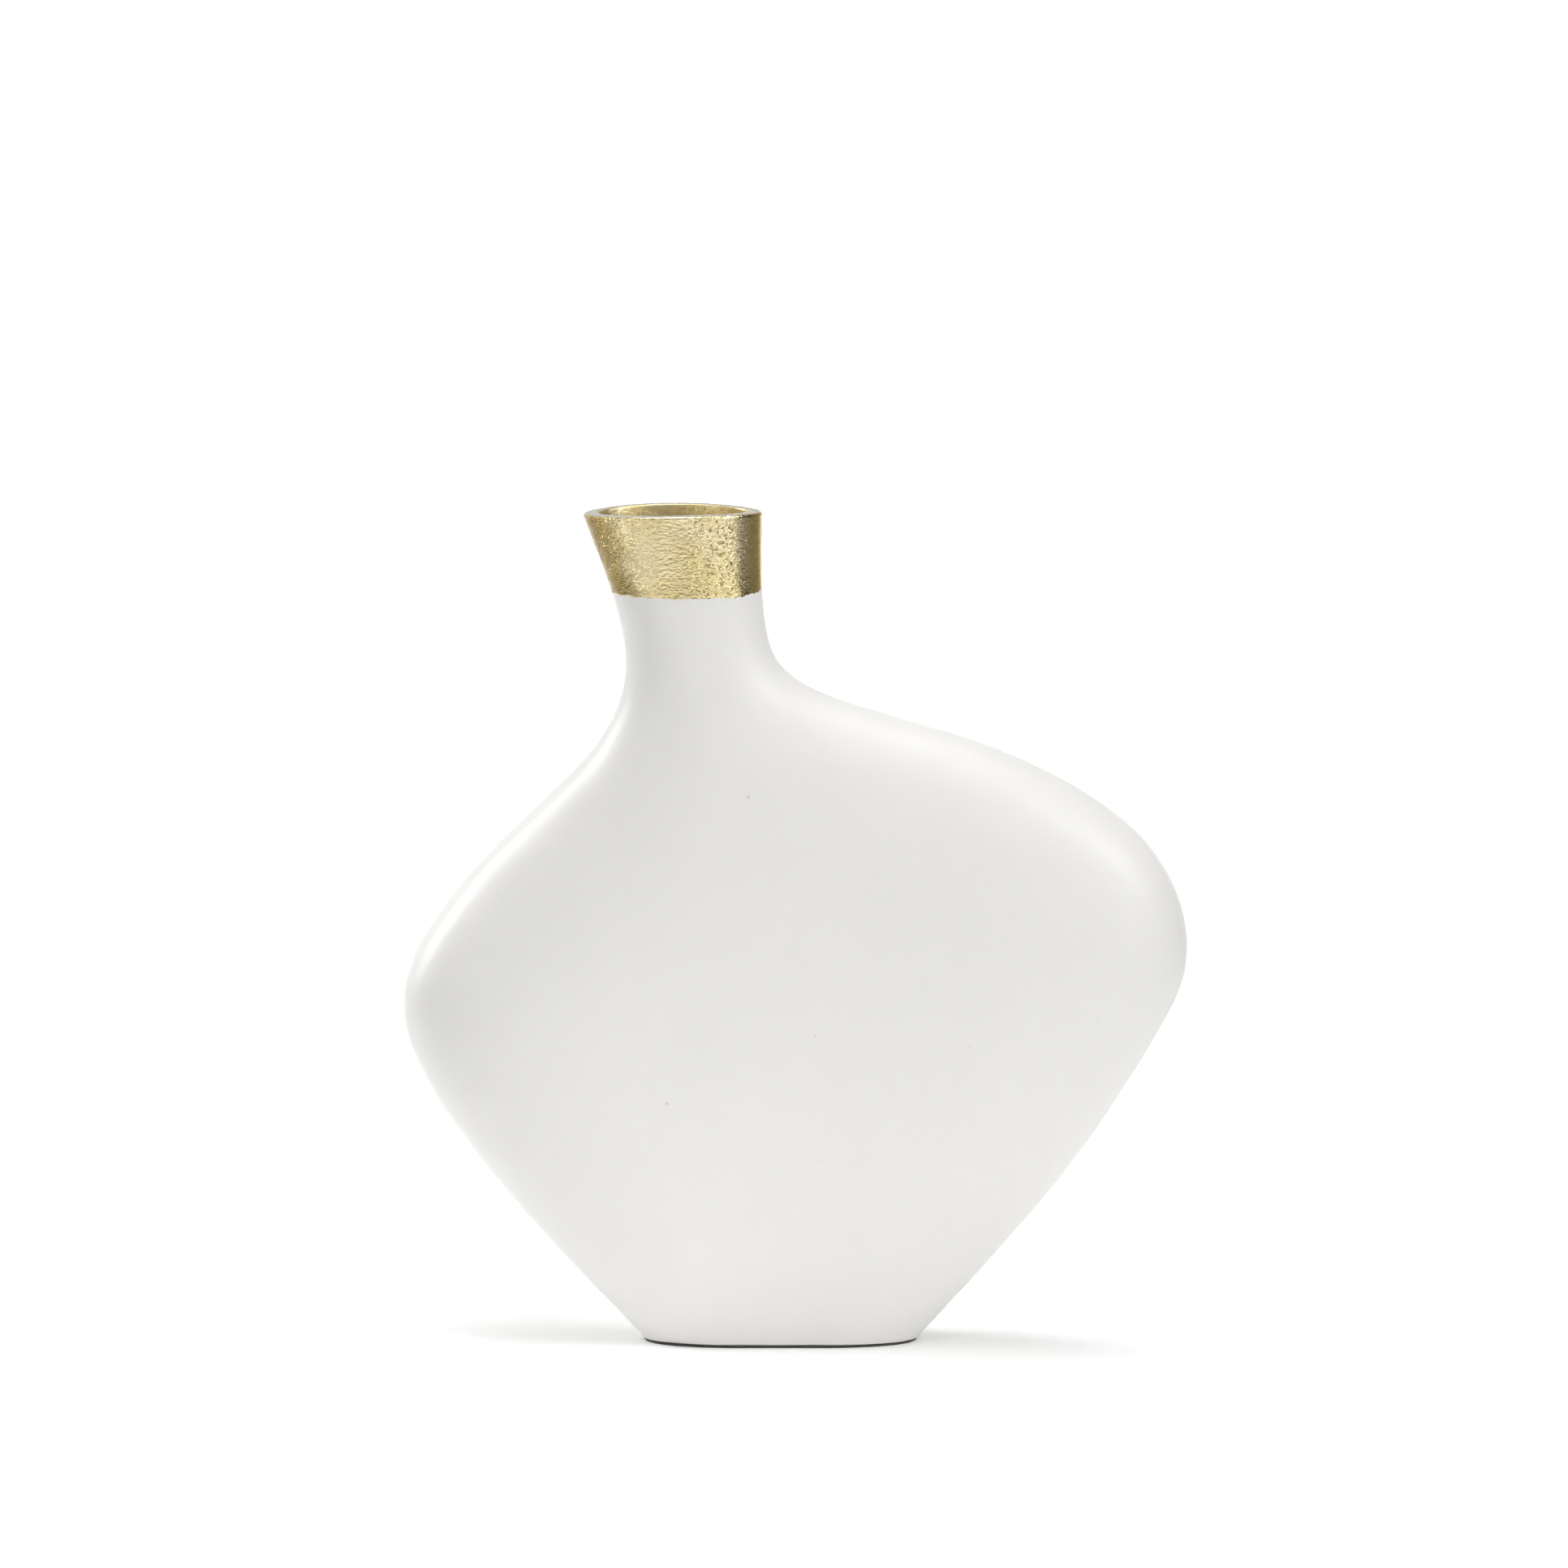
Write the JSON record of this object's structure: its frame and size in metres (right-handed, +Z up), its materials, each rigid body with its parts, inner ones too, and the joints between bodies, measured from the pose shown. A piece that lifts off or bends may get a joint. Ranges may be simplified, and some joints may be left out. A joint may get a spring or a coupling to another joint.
{
  "type": "flask vase",
  "caption": "Wide flat lopsided flask vase with an off-centre neck, a rough gilded mouth collar and a satin white leathery coat, standing on a thin dark pad.",
  "frame": {"origin": "on the standing surface, at the middle of the overall width and depth", "axes": "+Z up, broad front faces -Y, X runs across the wide front with the neck towards -X"},
  "size_m": [0.2611, 0.066, 0.28],
  "materials": {
    "white_coat": "satin white enamel with a fine orange-peel texture over cast metal",
    "weld_under_coat": "weld fill ground flush and coated with the body",
    "gilding": "gold leaf or gold lacquer over rough cast metal, ground on the rim",
    "bare_plate": "bare cast metal",
    "adhesive_film": "clear pressure-sensitive film",
    "dark_felt": "short dense dark felt"
  },
  "bodies": {
    "root": {"front_shell": "white_coat", "rear_shell": "white_coat", "left_weld": "weld_under_coat", "right_weld": "weld_under_coat", "gilded_collar": "gilding", "base_plate": "bare_plate", "pad_adhesive": "adhesive_film", "base_pad": "dark_felt"}
  },
  "joints": []
}
